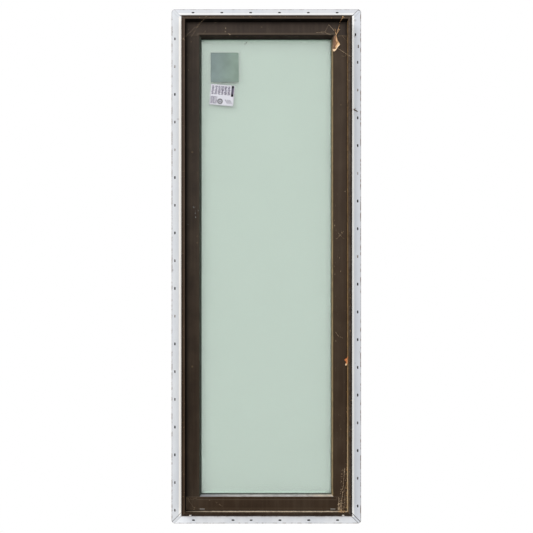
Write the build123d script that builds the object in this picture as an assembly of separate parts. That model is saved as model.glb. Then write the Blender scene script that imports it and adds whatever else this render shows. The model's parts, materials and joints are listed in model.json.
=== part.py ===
from build123d import *
import os

# A fixed window held by its nail fin. Millimetres, +X right, +Z up, outdoors towards -Y.
# The origin is on the fin's back face, below the middle of the sill's lower edge.
# Sections are drawn as (u, y): u runs inwards from the frame's outer edge, y into the wall.

# Frame, over the front flange
frame_width = 600.0
frame_height = 1758.0

# Front lip: a nose with a thin flange strip held in a kerf at its side
lip_stand = 40.0
lip_width = 13.6
lip_draft = 0.6
lip_round = 1.0
lip_corner_radius = 3.0
nose_step = 4.0
flange_show = 6.0
flange_thickness = 3.0
flange_tongue = 3.0
channel_depth = 7.0
weep_notch_width = 8.0
weep_notch_inset = 31.5

# Frame body behind the lip
frame_wall = 1.8
back_leg = 12.0
back_depth = 18.0

# Nail fin
fin_reach = 38.0
fin_thickness = 2.0
fin_corner_radius = 12.0
root_band = 7.0
root_thickness = 3.0
tongue_thickness = 1.2
kerf_web = 2.0
seat_gap = 0.2
lap_thickness = 0.8
lap_over = 6.0
lap_under = 3.0
lap_inset = 5.0
lap_clear = 2.0

# Slots punched in the fin
slot_length = 10.0
slot_width = 4.5
slot_inset = 12.0
slot_end_margin = 60.0
head_slot_pitch = 102.8
jamb_slot_pitch = 98.9
head_slot_shift = -4.3
sill_slot_shift = -2.7
left_slot_shift = -29.2
right_slot_shift = -14.1
stray_sill_slot = 1
stray_slot_shift = 38.2
stray_slot_set_in = 8.0

# Fixed sash
sash_recess = 22.0
sash_gap = 1.2
sash_depth = 60.0
sash_face = 46.6
sash_wall = 2.0
sash_round = 1.0
glazing_leg = 12.0
seal_setback = 8.0
seal_depth = 6.0
seam_width = 1.0
seam_depth = 0.6
seam_inset = 8.5

# Glazing
glass_setback = 23.0
pane_thickness = 3.0
cavity = 12.0
glass_edge_clear = 3.0
edge_seal_width = 3.0
spacer_width = 6.0
gasket_thickness = 2.5
inner_gasket_thickness = 2.0
gasket_show = 0.7
bead_slope = 6.0
bead_set = 1.5
bead_nose = 0.8
open_mitre = 1.5
stop_draft = 2.0
stop_wall = 1.5

# Weep covers on the bottom rail
weep_cover_length = 17.5
weep_cover_height = 4.0
weep_cover_stand = 1.5
weep_cover_inset = 68.7
weep_cover_shift = 3.6
weep_cover_lift = 0.5

# Labels on the outdoor face of the glass: a tilted paper one and a film one
paper_width = 86.0
paper_height = 74.0
paper_thickness = 0.3
paper_tilt = 5.0
paper_from_left = 142.3
paper_from_top = 266.1
film_width = 99.8
film_height = 105.5
film_thickness = 0.25
film_from_left = 151.3
film_from_top = 166.7

# Planes and edges worked out from the sizes above
lip_y = -lip_stand
flange_front = lip_y + nose_step
flange_back = flange_front + flange_thickness
frame_inner = lip_width + lip_draft
sash_y = lip_y + sash_recess
sash_back = sash_y + sash_depth
frame_back = sash_back + back_depth
kerf_floor = frame_inner - kerf_web
tongue_back = -fin_thickness + tongue_thickness
sash_edge = frame_inner + sash_gap
sash_inner = sash_edge + sash_face
pocket = sash_inner - glazing_leg
glass_y = sash_y + glass_setback
leg_back = glass_y - gasket_thickness
inner_pane_y = glass_y + pane_thickness + cavity
unit_back = inner_pane_y + pane_thickness
stop_y = unit_back + inner_gasket_thickness
bead_inner = sash_inner + bead_slope
gasket_inner = bead_inner + gasket_show
glass_edge = pocket + glass_edge_clear
spacer_edge = glass_edge + edge_seal_width
slot_line = slot_inset - fin_reach

half_width = frame_width / 2
half_height = frame_height / 2
fin_span = fin_reach + frame_back

# Each side's section plane: its x runs inwards from the frame's edge and its y into the wall
SIDES = {
    "head": Plane(origin=(0, 0, frame_height), x_dir=(0, 0, -1), z_dir=(1, 0, 0)),
    "sill": Plane(origin=(0, 0, 0), x_dir=(0, 0, 1), z_dir=(-1, 0, 0)),
    "left": Plane(origin=(-half_width, 0, half_height), x_dir=(1, 0, 0), z_dir=(0, 0, 1)),
    "right": Plane(origin=(half_width, 0, half_height), x_dir=(-1, 0, 0), z_dir=(0, 0, -1)),
}
HALF_RUN = {"head": half_width, "sill": half_width, "left": half_height, "right": half_height}


def outline(*points):
    """A closed flat face through the points."""
    return make_face(Polyline(*points, close=True))


def strip(u_from, u_to, y_from, y_to):
    """A rectangular section between two edges and two depths."""
    centre = Pos((u_from + u_to) / 2, (y_from + y_to) / 2)
    return centre * Rectangle(u_to - u_from, y_to - y_from)


def rounded(section, radius, *corners):
    """The section with the named corners rounded."""
    picked = [section.vertices().sort_by_distance(corner)[0] for corner in corners]
    return fillet(picked, radius)


def run(side, section, half_length):
    """The section drawn out along one side, the same length each way from its middle."""
    return extrude(SIDES[side] * section, amount=half_length, both=True)


def mitre(side):
    """The wedge of space that belongs to one side, between the 45 degree lines of its corners."""
    far = fin_span
    deep = 2 * gasket_inner
    low, high = -half_width, half_width
    top = frame_height
    corners = {
        "head": [(low - far, top + far), (low + deep, top - deep), (high - deep, top - deep),
                 (high + far, top + far)],
        "sill": [(low - far, -far), (high + far, -far), (high - deep, deep), (low + deep, deep)],
        "left": [(low - far, -far), (low + deep, deep), (low + deep, top - deep), (low - far, top + far)],
        "right": [(high + far, -far), (high + far, top + far), (high - deep, top - deep),
                  (high - deep, deep)],
    }
    return extrude(Plane.XZ * outline(*corners[side]), amount=fin_span + lip_stand, both=True)


def mitred(side, section):
    """A bar of the section along one side, cut at 45 degrees at both ends."""
    return run(side, section, HALF_RUN[side] + fin_span) & mitre(side)


def frame_section():
    """Hollow frame: nose with the flange kerf, side wall with the fin kerf, and a box behind the sash."""
    kerf_end = flange_show + flange_tongue
    back_inner = frame_inner + back_leg
    body = outline(
        (flange_show, lip_y), (lip_width, lip_y), (frame_inner, sash_y), (frame_inner, sash_back),
        (back_inner, sash_back), (back_inner, frame_back), (channel_depth, frame_back),
        (channel_depth, tongue_back), (kerf_floor, tongue_back), (kerf_floor, -fin_thickness),
        (channel_depth, -fin_thickness), (channel_depth, flange_back), (kerf_end, flange_back),
        (kerf_end, flange_front), (flange_show, flange_front))
    body = rounded(body, lip_round, (flange_show, lip_y), (lip_width, lip_y))
    outer = channel_depth + frame_wall
    inner = frame_inner - frame_wall
    nose_chamber = strip(outer, lip_width - frame_wall, flange_back + frame_wall, -fin_thickness - frame_wall)
    side_chamber = strip(outer, inner, tongue_back + frame_wall, sash_back - frame_wall)
    back_chamber = strip(outer, back_inner - frame_wall, sash_back + frame_wall, frame_back - frame_wall)
    return body - nose_chamber - side_chamber - back_chamber


def flange_section():
    """Flange strip: its outer corner is eased and its tongue sits in the nose's kerf."""
    plate = strip(0, flange_show + flange_tongue, flange_front, flange_back)
    return rounded(plate, lip_round, (0, flange_front))


def fin_section():
    """Fin strip: flat plate, thicker band at its root, and a tongue for the frame's kerf."""
    root = channel_depth - seat_gap
    return outline(
        (-fin_reach, 0), (-fin_reach, -fin_thickness), (-root_band, -fin_thickness),
        (-root_band, -root_thickness), (root, -root_thickness), (root, -fin_thickness),
        (kerf_floor - seat_gap, -fin_thickness), (kerf_floor - seat_gap, tongue_back),
        (root, tongue_back), (root, 0))


def sash_section():
    """Hollow sash member: front box with the glazing leg, and a box behind the glazing pocket."""
    body = outline(
        (sash_edge, sash_y), (sash_inner, sash_y), (sash_inner, leg_back), (pocket, leg_back),
        (pocket, sash_back), (sash_edge, sash_back))
    body = rounded(body, sash_round, (sash_edge, sash_y), (sash_inner, sash_y))
    outer = sash_edge + sash_wall
    front = strip(outer, sash_inner - sash_wall, sash_y + sash_wall, leg_back - sash_wall)
    back = strip(outer, pocket - sash_wall, leg_back, sash_back - sash_wall)
    return body - front - back


def bead_section():
    """Sloping bead between the sash's inner edge and the glass."""
    bead_y = sash_y + bead_set
    return outline((sash_inner, bead_y), (sash_inner + bead_nose, bead_y), (bead_inner, leg_back),
                   (sash_inner, leg_back))


def stop_section():
    """Hollow stop that holds the glass from indoors."""
    body = outline((pocket, stop_y), (bead_inner, stop_y), (bead_inner - stop_draft, sash_back),
                   (pocket, sash_back))
    chamber = outline(
        (pocket + stop_wall, stop_y + stop_wall), (bead_inner - stop_draft - stop_wall, stop_y + stop_wall),
        (bead_inner - stop_draft - stop_wall, sash_back - stop_wall),
        (pocket + stop_wall, sash_back - stop_wall))
    return body - chamber


def slot_places(side):
    """Where a side's slots lie along it, from the window's middle."""
    across = side in ("head", "sill")
    pitch = head_slot_pitch if across else jamb_slot_pitch
    length = frame_width if across else frame_height
    shift = {"head": head_slot_shift, "sill": sill_slot_shift,
             "left": left_slot_shift, "right": right_slot_shift}[side]
    steps = int((length - slot_end_margin) / pitch)
    places = [shift + (step - steps / 2) * pitch for step in range(steps + 1)]
    if side == "sill":
        places[stray_sill_slot] += stray_slot_shift
    return places


def slot_cutters(side):
    """One cutter for each slot of a side, long along the strip."""
    across = side in ("head", "sill")
    line = {"head": frame_height - slot_line, "sill": slot_line,
            "left": slot_line - half_width, "right": half_width - slot_line}[side]
    places = slot_places(side)
    cutters = []
    for place in places:
        set_in = stray_slot_set_in if side == "right" and place == places[-1] else 0
        spot = Pos(place, line) if across else Pos(line - set_in, half_height + place)
        shape = SlotOverall(slot_length, slot_width, rotation=0 if across else 90)
        cutters.append(extrude(Plane.XZ * spot * shape, amount=fin_reach, both=True))
    return cutters


def lap_tab(x_sign, at_top):
    """Thin tab of a jamb's fin that laps over the neighbouring strip's mitred end."""
    rise = -1 if at_top else 1
    along = Vector(-x_sign, rise)
    across = Vector(x_sign, rise).normalized()
    corner = Vector(x_sign * half_width, frame_height if at_top else 0)
    start = corner + along * (lap_inset - fin_reach)
    end = corner - along * (root_band + lap_clear)
    points = [start + across * lap_under, end + across * lap_under,
              end - across * lap_over, start - across * lap_over]
    face = Plane.XZ.offset(fin_thickness) * outline(*[(point.X, point.Y) for point in points])
    return extrude(face, amount=lap_thickness)


def fin(side):
    """One strip of the nail fin, with its slots, its rounded corners and a jamb's lapping tabs."""
    overall = RectangleRounded(frame_width + 2 * fin_reach, frame_height + 2 * fin_reach, fin_corner_radius)
    blank = extrude(Plane.XZ * Pos(0, half_height) * overall, amount=fin_span, both=True)
    plate = mitred(side, fin_section()) & blank
    if side in ("left", "right"):
        for at_top in (False, True):
            plate += lap_tab(-1 if side == "left" else 1, at_top)
    return plate - slot_cutters(side)


def flange(side):
    """One strip of the front flange, with rounded corners and, on the sill, a weep notch near each end."""
    overall = RectangleRounded(frame_width, frame_height, lip_corner_radius)
    blank = extrude(Plane.XZ * Pos(0, half_height) * overall, amount=lip_stand, both=True)
    plate = mitred(side, flange_section()) & blank
    if side == "sill":
        for x_sign in (-1, 1):
            notch = Box(weep_notch_width, 2 * flange_thickness, 2 * flange_show)
            x = x_sign * (half_width - weep_notch_inset)
            plate -= Pos(x, flange_front + flange_thickness / 2, 0) * notch
    return plate


def rail(side):
    """A sash rail: it runs through from edge to edge."""
    return run(side, sash_section(), half_width - sash_edge)


def bottom_rail():
    """The lower rail, with a fine seam along its face between the stiles."""
    seam = Box(2 * (half_width - sash_inner), 2 * seam_depth, seam_width)
    return rail("sill") - Pos(0, sash_y, sash_inner - seam_inset) * seam


def stile(side):
    """A sash stile: it butts between the rails, its back part longer than its front part."""
    section = sash_section()
    front = section & strip(0, half_width, lip_y, leg_back)
    back = section & strip(0, half_width, leg_back, frame_back)
    return run(side, front, half_height - sash_inner) + run(side, back, half_height - pocket)


def bottom_bead():
    """The lower bead: its left mitre has opened a little."""
    return mitred("sill", bead_section()) & Pos(open_mitre, 0, 0) * mitre("sill")


def pane(y_front):
    """One sheet of glass."""
    sheet = Box(frame_width - 2 * glass_edge, pane_thickness, frame_height - 2 * glass_edge)
    return Pos(0, y_front + pane_thickness / 2, half_height) * sheet


def cavity_ring(u_from, width):
    """A closed ring between the panes."""
    u_to = u_from + width
    ring = Rectangle(frame_width - 2 * u_from, frame_height - 2 * u_from)
    ring -= Rectangle(frame_width - 2 * u_to, frame_height - 2 * u_to)
    face = Plane.XZ.offset(-glass_y - pane_thickness) * Pos(0, half_height) * ring
    return extrude(face, amount=-cavity)


def weep_cover(x_sign):
    """A small hood on the bottom rail, sloping off towards its top."""
    foot = sash_edge + sash_round + weep_cover_lift
    hood = outline((foot, sash_y), (foot, sash_y - weep_cover_stand),
                   (foot + weep_cover_height / 2, sash_y - weep_cover_stand),
                   (foot + weep_cover_height, sash_y))
    x = x_sign * (half_width - weep_cover_inset) + weep_cover_shift
    return Pos(x, 0, 0) * run("sill", hood, weep_cover_length / 2)


def label_place(from_left, from_top, y):
    """Where a label's middle is, from the frame's left and top edges."""
    return Pos(from_left - half_width, y, frame_height - from_top)


def paper_label():
    """A paper label stuck askew on the outdoor face of the glass."""
    sheet = Rot(0, paper_tilt, 0) * Box(paper_width, paper_thickness, paper_height)
    return label_place(paper_from_left, paper_from_top, glass_y - paper_thickness / 2) * sheet


def film_label():
    """A square of film stuck on the outdoor face of the glass."""
    sheet = Box(film_width, film_thickness, film_height)
    return label_place(film_from_left, film_from_top, glass_y - film_thickness / 2) * sheet


def window():
    """Every piece of the window by name."""
    seal = strip(frame_inner, sash_edge, sash_y + seal_setback, sash_y + seal_setback + seal_depth)
    outer_gasket = strip(spacer_edge, gasket_inner, leg_back, glass_y)
    inner_gasket = strip(spacer_edge, gasket_inner, unit_back, stop_y)
    members = {"head": "frame_head", "sill": "frame_sill", "left": "left_jamb", "right": "right_jamb"}
    edges = {"head": "top", "sill": "bottom", "left": "left", "right": "right"}
    pieces = {}
    for side, edge in edges.items():
        pieces[members[side]] = mitred(side, frame_section())
        pieces[f"{edge}_flange"] = flange(side)
        pieces[f"{edge}_fin"] = fin(side)
        pieces[f"{edge}_sash_seal"] = mitred(side, seal)
        pieces[f"{edge}_glazing_bead"] = bottom_bead() if side == "sill" else mitred(side, bead_section())
        pieces[f"{edge}_outer_gasket"] = mitred(side, outer_gasket)
        pieces[f"{edge}_inner_gasket"] = mitred(side, inner_gasket)
        pieces[f"{edge}_glass_stop"] = mitred(side, stop_section())
    pieces["top_rail"] = rail("head")
    pieces["bottom_rail"] = bottom_rail()
    pieces["left_stile"] = stile("left")
    pieces["right_stile"] = stile("right")
    pieces["outer_pane"] = pane(glass_y)
    pieces["inner_pane"] = pane(inner_pane_y)
    pieces["glass_spacer"] = cavity_ring(spacer_edge, spacer_width)
    pieces["glass_edge_seal"] = cavity_ring(glass_edge, edge_seal_width)
    pieces["left_weep_cover"] = weep_cover(-1)
    pieces["right_weep_cover"] = weep_cover(1)
    pieces["paper_label"] = paper_label()
    pieces["film_label"] = film_label()
    return pieces


os.makedirs("parts", exist_ok=True)
for node, shape in window().items():
    export_step(shape, f"parts/{node}.step")
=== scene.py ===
import json
import logging
import math
import random
from dataclasses import dataclass
from enum import Enum

import bmesh
import bpy
from mathutils import Matrix, Vector, noise


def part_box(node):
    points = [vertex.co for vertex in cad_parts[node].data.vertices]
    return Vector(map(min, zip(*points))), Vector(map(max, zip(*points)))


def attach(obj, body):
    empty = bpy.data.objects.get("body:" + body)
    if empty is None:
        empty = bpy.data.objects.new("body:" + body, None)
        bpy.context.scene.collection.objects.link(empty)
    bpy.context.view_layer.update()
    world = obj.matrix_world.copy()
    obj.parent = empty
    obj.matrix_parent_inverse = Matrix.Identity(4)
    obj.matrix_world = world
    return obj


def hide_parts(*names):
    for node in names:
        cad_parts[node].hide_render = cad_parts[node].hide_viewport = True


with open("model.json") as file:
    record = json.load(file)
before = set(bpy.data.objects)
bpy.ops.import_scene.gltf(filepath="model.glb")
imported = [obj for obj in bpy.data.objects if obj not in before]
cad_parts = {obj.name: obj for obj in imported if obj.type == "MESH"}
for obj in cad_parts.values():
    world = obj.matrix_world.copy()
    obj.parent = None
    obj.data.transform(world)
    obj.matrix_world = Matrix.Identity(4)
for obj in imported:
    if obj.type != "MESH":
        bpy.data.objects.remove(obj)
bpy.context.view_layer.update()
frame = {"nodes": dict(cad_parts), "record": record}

LOG = logging.getLogger("window")
MM = 0.001
BODY = "root"

Colour = tuple[float, float, float, float]
Triple = tuple[float, float, float]
Pixel = tuple[float, float]


def tint(red: int, green: int, blue: int) -> Colour:
    """A colour as the eye reads it, from 0 to 255, as the linear values a shader takes."""
    def linear(level: int) -> float:
        """One channel."""
        share = level / 255
        return share / 12.92 if share <= 0.04045 else ((share + 0.055) / 1.055) ** 2.4
    return (linear(red), linear(green), linear(blue), 1.0)


class Edge(Enum):
    """The four sides of the window, by the first word of their pieces' names."""

    TOP = "top"
    BOTTOM = "bottom"
    LEFT = "left"
    RIGHT = "right"


class Axis(Enum):
    """Axes that a coat can fade along, by their places in a vector."""

    X = 0
    Z = 2


class Facing(Enum):
    """Directions that a face can look in."""

    FRONT = (0.0, -1.0, 0.0)
    UP = (0.0, 0.0, 1.0)
    DOWN = (0.0, 0.0, -1.0)
    LEFT = (-1.0, 0.0, 0.0)
    RIGHT = (1.0, 0.0, 0.0)


@dataclass(frozen=True)
class PhotoCamera:
    """Where the photograph was taken from, and what each of its pixels looks at."""

    eye: Triple = (-0.087, -2.149, 0.747)
    focal_px: float = 602.0
    axis_px: Pixel = (241.9, 303.4)
    frame_px: float = 533.0
    sensor_mm: float = 36.0

    def spot(self, px: float, py: float, depth: float) -> Vector:
        """The point that a pixel shows on the upright plane at a depth.

        Args:
            px: Pixels from the photograph's left edge.
            py: Pixels from its top edge.
            depth: The plane's y.

        Returns:
            The point in the window's frame.
        """
        reach = (depth - self.eye[1]) / self.focal_px
        return Vector((self.eye[0] + (px - self.axis_px[0]) * reach, depth,
                       self.eye[2] - (py - self.axis_px[1]) * reach))

    def place(self) -> None:
        """Puts the scene's camera there, looking straight at the window's plane."""
        lens = bpy.data.cameras.new("photo_camera")
        lens.sensor_width = self.sensor_mm
        lens.lens = self.focal_px / self.frame_px * self.sensor_mm
        middle = self.frame_px / 2
        lens.shift_x = (middle - self.axis_px[0]) / self.frame_px
        lens.shift_y = (self.axis_px[1] - middle) / self.frame_px
        camera = bpy.data.objects.new("photo_camera", lens)
        camera.location = self.eye
        camera.rotation_euler = (math.pi / 2, 0, 0)
        bpy.context.scene.collection.objects.link(camera)
        bpy.context.scene.camera = camera


@dataclass(frozen=True)
class WindowSizes:
    """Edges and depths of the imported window, in metres."""

    half_width: float
    height: float
    lip_y: float
    flange_y: float
    sash_y: float
    glass_y: float
    sash_inner: float
    bead_inner: float
    fin_reach: float
    fin_y: float
    fin_corner: float = 12.0 * MM

    @classmethod
    def from_frame(cls) -> "WindowSizes":
        """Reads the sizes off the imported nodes."""
        half_width = -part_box("left_flange")[0].x
        return cls(
            half_width=half_width,
            height=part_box("top_flange")[1].z,
            lip_y=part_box("frame_head")[0].y,
            flange_y=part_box("top_flange")[0].y,
            sash_y=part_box("top_rail")[0].y,
            glass_y=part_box("outer_pane")[0].y,
            sash_inner=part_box("bottom_rail")[1].z,
            bead_inner=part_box("bottom_glazing_bead")[1].z,
            fin_reach=-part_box("left_fin")[0].x - half_width,
            fin_y=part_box("left_fin")[0].y)


PHOTO = PhotoCamera()
SIZES = WindowSizes.from_frame()
GRAIN_LIFT = 0.3 * MM
ON_LIP = SIZES.lip_y - GRAIN_LIFT
ON_SASH = SIZES.sash_y - GRAIN_LIFT
ON_GLASS = SIZES.glass_y - GRAIN_LIFT
ON_FIN = SIZES.fin_y - GRAIN_LIFT
ON_BEAD = SIZES.sash_y + 9 * MM
ON_LIP_SIDE = SIZES.sash_y - 3 * MM
MIDWAY = (ON_LIP + ON_SASH) / 2


class Graph:
    """A node tree being wired: each call adds one node and gives back its output."""

    def __init__(self, tree: bpy.types.NodeTree) -> None:
        """Starts on a tree."""
        self.tree = tree

    def node(self, kind: str, feeds: dict | None = None, **settings) -> bpy.types.Node:
        """Adds a node.

        Args:
            kind: Blender's name of the node type.
            feeds: What goes into its inputs, by name or number: a socket or a fixed value.
            settings: The node's own properties.

        Returns:
            The node.
        """
        made = self.tree.nodes.new(kind)
        for name, value in settings.items():
            setattr(made, name, value)
        for name, value in (feeds or {}).items():
            self.feed(made.inputs[name], value)
        return made

    def feed(self, socket: bpy.types.NodeSocket, value) -> None:
        """Links a socket into an input, or sets the input's own value."""
        if isinstance(value, bpy.types.NodeSocket):
            self.tree.links.new(value, socket)
        else:
            socket.default_value = value

    def math(self, operation: str, *values) -> bpy.types.NodeSocket:
        """One sum on numbers."""
        return self.node("ShaderNodeMath", dict(enumerate(values)), operation=operation).outputs[0]

    def times(self, *values) -> bpy.types.NodeSocket:
        """The product of several numbers."""
        product = values[0]
        for value in values[1:]:
            product = self.math("MULTIPLY", product, value)
        return product

    def scaled(self, vector, by: Triple) -> bpy.types.NodeSocket:
        """A vector stretched along its axes."""
        return self.node("ShaderNodeVectorMath", {0: vector, 1: by}, operation="MULTIPLY").outputs[0]

    def parts(self, vector) -> tuple:
        """A vector's x, y and z."""
        return tuple(self.node("ShaderNodeSeparateXYZ", {0: vector}).outputs)

    def ramp(self, value, low: float, high: float, start: float = 0.0,
             end: float = 1.0) -> bpy.types.NodeSocket:
        """A smooth step of a value from start, at low, to end, at high."""
        feeds = {"Value": value, "From Min": low, "From Max": high, "To Min": start, "To Max": end}
        return self.node("ShaderNodeMapRange", feeds, interpolation_type="SMOOTHSTEP").outputs[0]

    def near(self, value, centre: float, half: float, soft: float) -> bpy.types.NodeSocket:
        """1 where a value lies within half of a centre, fading to 0 over the soft width."""
        away = self.math("ABSOLUTE", self.math("SUBTRACT", value, centre))
        return self.ramp(away, half, half + soft, 1.0, 0.0)

    def mix(self, share, under, over) -> bpy.types.NodeSocket:
        """One colour laid over another."""
        return self.node("ShaderNodeMix", {0: share, 6: under, 7: over}, data_type="RGBA").outputs[2]

    def toned(self, colour, tone) -> bpy.types.NodeSocket:
        """A colour made lighter or darker by a tone about 1."""
        return self.node("ShaderNodeMix", {0: 1.0, 6: colour, 7: tone}, data_type="RGBA",
                         blend_type="MULTIPLY").outputs[2]

    def noise(self, vector, scale: float, detail: float = 3.0, rough: float = 0.55) -> bpy.types.NodeSocket:
        """Cloudy values about 0.5."""
        feeds = {"Vector": vector, "Scale": scale, "Detail": detail, "Roughness": rough}
        return self.node("ShaderNodeTexNoise", feeds).outputs[0]

    def effect(self, group: bpy.types.NodeTree, **feeds) -> bpy.types.Node:
        """Places a shared effect, with this material's own values."""
        made = self.tree.nodes.new("ShaderNodeGroup")
        made.node_tree = group
        for name, value in feeds.items():
            self.feed(made.inputs[name.capitalize()], value)
        return made


class Effects:
    """Surface effects that several finishes share, each a node group that is built once."""

    def __init__(self) -> None:
        """Builds every group."""
        self.facing = self._facing()
        self.film = self._film()
        self.grain = self._grain()
        self.scratches = self._scratches()
        self.specks = self._specks()
        self.edges = self._edges()

    @staticmethod
    def _start(name: str, inputs: dict[str, str], outputs: list[str]) -> tuple[Graph, dict, bpy.types.Node]:
        """Opens a group with named sockets.

        Args:
            name: The group's name.
            inputs: Input names, each with Vector or Float.
            outputs: Names of the outputs, all of them numbers.

        Returns:
            The graph, its input sockets by name, and the node that takes the outputs.
        """
        tree = bpy.data.node_groups.new(name, "ShaderNodeTree")
        for label, kind in inputs.items():
            tree.interface.new_socket(name=label, in_out="INPUT", socket_type=f"NodeSocket{kind}")
        for label in outputs:
            tree.interface.new_socket(name=label, in_out="OUTPUT", socket_type="NodeSocketFloat")
        graph = Graph(tree)
        entry = graph.node("NodeGroupInput")
        return graph, {label: entry.outputs[label] for label in inputs}, graph.node("NodeGroupOutput")

    def _facing(self) -> bpy.types.NodeTree:
        """A mask for faces that look one way, for dust and for painted shade and reflection: patchy where
        Patchy is 1, even where it is 0.
        """
        graph, given, out = self._start(
            "facing_dust_and_shade", {"Position": "Vector", "Normal": "Vector", "Direction": "Vector",
                            "Amount": "Float", "Patchy": "Float", "Scale": "Float"}, ["Mask"])
        turned = graph.node("ShaderNodeVectorMath", {0: given["Normal"], 1: given["Direction"]},
                            operation="DOT_PRODUCT").outputs["Value"]
        cloud = graph.node("ShaderNodeTexNoise", {"Vector": given["Position"], "Scale": given["Scale"],
                                                  "Detail": 5.0, "Roughness": 0.6}).outputs[0]
        patches = graph.ramp(cloud, 0.36, 0.62)
        bare = graph.math("MULTIPLY", graph.math("SUBTRACT", 1.0, patches), given["Patchy"])
        even = graph.math("SUBTRACT", 1.0, bare)
        graph.feed(out.inputs["Mask"], graph.times(graph.ramp(turned, 0.3, 0.8), even, given["Amount"]))
        return graph.tree

    def _film(self) -> bpy.types.NodeTree:
        """A thin film of dirt: upright rain streaks and soft blots."""
        graph, given, out = self._start("dirt_film", {"Position": "Vector", "Amount": "Float"}, ["Mask"])
        drawn_out = graph.scaled(given["Position"], (90.0, 90.0, 4.0))
        streaks = graph.ramp(graph.noise(drawn_out, 1.0, 4.0), 0.42, 0.72)
        blots = graph.ramp(graph.noise(given["Position"], 11.0, 4.0), 0.4, 0.7)
        both = graph.math("ADD", graph.times(streaks, 0.5), graph.times(blots, 0.5))
        graph.feed(out.inputs["Mask"], graph.times(both, given["Amount"]))
        return graph.tree

    def _grain(self) -> bpy.types.NodeTree:
        """Fine orange-peel grain of a coating: a tone about 1, and a height."""
        graph, given, out = self._start("coat_grain", {"Position": "Vector", "Scale": "Float"},
                                        ["Tone", "Height"])
        fine = graph.node("ShaderNodeTexNoise", {"Vector": given["Position"], "Scale": given["Scale"],
                                                 "Detail": 2.0}).outputs[0]
        broad = graph.noise(given["Position"], 16.0, 2.0)
        mixed = graph.math("ADD", graph.times(fine, 0.5), graph.times(broad, 0.5))
        graph.feed(out.inputs["Tone"], graph.ramp(mixed, 0.3, 0.7, 0.86, 1.14))
        graph.feed(out.inputs["Height"], fine)
        return graph.tree

    def _scratches(self) -> bpy.types.NodeTree:
        """Sparse hairline scratches that lean to one side."""
        graph, given, out = self._start("scratches", {"Position": "Vector", "Amount": "Float"}, ["Mask"])
        turned = graph.node("ShaderNodeMapping", {"Vector": given["Position"], "Rotation": (0.0, 0.72, 0.0),
                                                  "Scale": (420.0, 60.0, 14.0)}).outputs[0]
        lines = graph.ramp(graph.noise(turned, 1.0, 2.0, 0.4), 0.68, 0.76)
        zones = graph.ramp(graph.noise(given["Position"], 9.0, 2.0), 0.5, 0.68)
        graph.feed(out.inputs["Mask"], graph.times(lines, zones, given["Amount"]))
        return graph.tree

    def _specks(self) -> bpy.types.NodeTree:
        """Scattered specks: fly spots and grit, in a share of the cells."""
        graph, given, out = self._start(
            "specks", {"Position": "Vector", "Scale": "Float", "Share": "Float"}, ["Mask"])
        cells = graph.node("ShaderNodeTexVoronoi", {"Vector": given["Position"], "Scale": given["Scale"]})
        picked = graph.math("LESS_THAN", graph.parts(cells.outputs["Color"])[0], given["Share"])
        spot = graph.ramp(cells.outputs["Distance"], 0.12, 0.26, 1.0, 0.0)
        graph.feed(out.inputs["Mask"], graph.times(picked, spot))
        return graph.tree

    def _edges(self) -> bpy.types.NodeTree:
        """How far a point lies in from the frame's outer edge, off the nearest corner's 45 degree line,
        and in from the fin's outer edge with its round corners."""
        graph, given, out = self._start("frame_edges", {"Position": "Vector"}, ["Inset", "Mitre", "Rim"])
        x, _, z = graph.parts(given["Position"])
        side = graph.math("SUBTRACT", SIZES.half_width, graph.math("ABSOLUTE", x))
        end = graph.math("MINIMUM", z, graph.math("SUBTRACT", SIZES.height, z))
        graph.feed(out.inputs["Inset"], graph.math("MINIMUM", side, end))
        graph.feed(out.inputs["Mitre"], graph.math("SUBTRACT", end, side))
        squares = []
        round_from = SIZES.fin_corner - SIZES.fin_reach
        for reach in (side, end):
            over = graph.math("MAXIMUM", graph.math("SUBTRACT", round_from, reach), 0.0)
            squares.append(graph.times(over, over))
        away = graph.math("SQRT", graph.math("ADD", *squares))
        graph.feed(out.inputs["Rim"], graph.math("SUBTRACT", SIZES.fin_corner, away))
        return graph.tree


class Surface(Graph):
    """A material being wired: its coordinates and its shader stand ready."""

    def __init__(self, name: str) -> None:
        """Starts a material of that name."""
        self.material = bpy.data.materials.new(name)
        self.material.use_nodes = True
        super().__init__(self.material.node_tree)
        self.tree.nodes.clear()
        self.shader = self.node("ShaderNodeBsdfPrincipled")
        self.node("ShaderNodeOutputMaterial", {"Surface": self.shader.outputs[0]})
        self.position = self.node("ShaderNodeTexCoord").outputs["Object"]
        self.normal = self.node("ShaderNodeNewGeometry").outputs["Normal"]

    def set(self, **feeds) -> "Surface":
        """Feeds the shader's inputs, named with underscores for spaces."""
        for name, value in feeds.items():
            self.feed(self.shader.inputs[name.replace("_", " ")], value)
        return self

    def bump(self, height, strength: float, depth: float) -> None:
        """Raises the surface by a height map."""
        feeds = {"Height": height, "Strength": strength, "Distance": depth}
        self.set(Normal=self.node("ShaderNodeBump", feeds).outputs[0])


EFFECTS = Effects()


@dataclass(frozen=True)
class Coat:
    """A colour laid on the faces of a bar that look one way, between two depths if they are given: dust and
    dirt, and on some sides painted shade and painted reflection. It can fade along an axis, from where the
    bar is bare to where the coat is full."""

    facing: Facing
    colour: Colour
    amount: float
    patchy: float = 0.5
    depths: tuple[float, float] | None = None
    scale: float = 48.0
    fade: tuple[Axis, float, float] | None = None


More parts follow.
